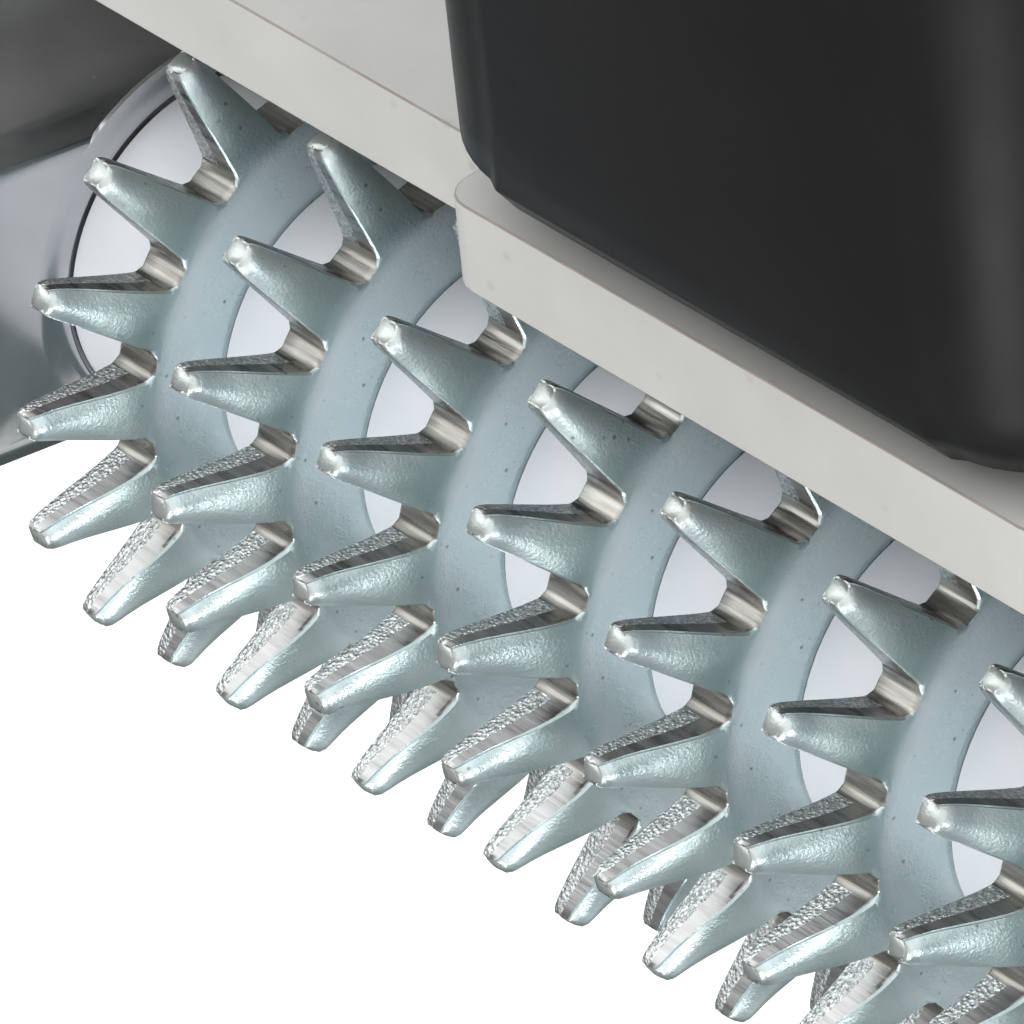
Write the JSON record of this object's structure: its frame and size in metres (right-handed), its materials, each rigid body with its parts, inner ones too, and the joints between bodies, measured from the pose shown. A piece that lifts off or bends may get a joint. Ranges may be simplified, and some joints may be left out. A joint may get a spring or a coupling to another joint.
{
  "type": "rotary undercoat rake",
  "caption": "Hand-held coat rake whose rotating drum of toothed, zinc-plated rings turns on a fixed axle between two posts in a trough housing on a black grip.",
  "frame": {"origin": "on the flat base of the housing, under the middle of the drum's axis", "axes": "+Z the way the teeth face, X along the drum's axis, -Y along the grip away from the drum"},
  "size_m": [0.092, 0.1518, 0.0255],
  "materials": {
    "zinc_plate": "bright zinc plating over stamped steel",
    "pale_core": "pale satin",
    "polished_steel": "polished",
    "dark_screws": "dark oxide",
    "bush_bronze": "sintered bronze",
    "pale_housing": "pale satin coat",
    "black_grip": "satin black",
    "black_cap": "matt black"
  },
  "bodies": {
    "handle": {"head_housing": "pale_housing", "end_post_left": "polished_steel", "end_post_right": "polished_steel", "drum_axle": "polished_steel", "axle_screw_left": "dark_screws", "axle_screw_right": "dark_screws", "thrust_washer_left": "polished_steel", "thrust_washer_right": "polished_steel", "post_screw_left": "dark_screws", "post_screw_right": "dark_screws", "tang_screw_left": "dark_screws", "tang_screw_right": "dark_screws", "handle_tang": "polished_steel", "tang_foot_plate": "polished_steel", "grip": "black_grip", "grip_screw_front": "dark_screws", "grip_screw_back": "dark_screws", "grip_end_cap": "black_cap"},
    "drum": {"drum_sleeve": "polished_steel", "drum_bush_left": "bush_bronze", "drum_bush_right": "bush_bronze", "toothed_ring_01": "zinc_plate", "toothed_ring_02": "zinc_plate", "toothed_ring_03": "zinc_plate", "toothed_ring_04": "zinc_plate", "toothed_ring_05": "zinc_plate", "toothed_ring_06": "zinc_plate", "toothed_ring_07": "zinc_plate", "toothed_ring_08": "zinc_plate", "toothed_ring_09": "zinc_plate", "toothed_ring_10": "zinc_plate", "ring_spacer_01": "pale_core", "ring_spacer_02": "pale_core", "ring_spacer_03": "pale_core", "ring_spacer_04": "pale_core", "ring_spacer_05": "pale_core", "ring_spacer_06": "pale_core", "ring_spacer_07": "pale_core", "ring_spacer_08": "pale_core", "ring_spacer_09": "pale_core", "clamp_collar_left": "pale_core", "clamp_collar_right": "pale_core"}
  },
  "joints": [
    {"name": "drum_spin", "type": "hinge", "parent": "handle", "child": "drum", "pos_m": [0, 0, 0.0146], "axis": [1, 0, 0], "continuous": true}
  ]
}
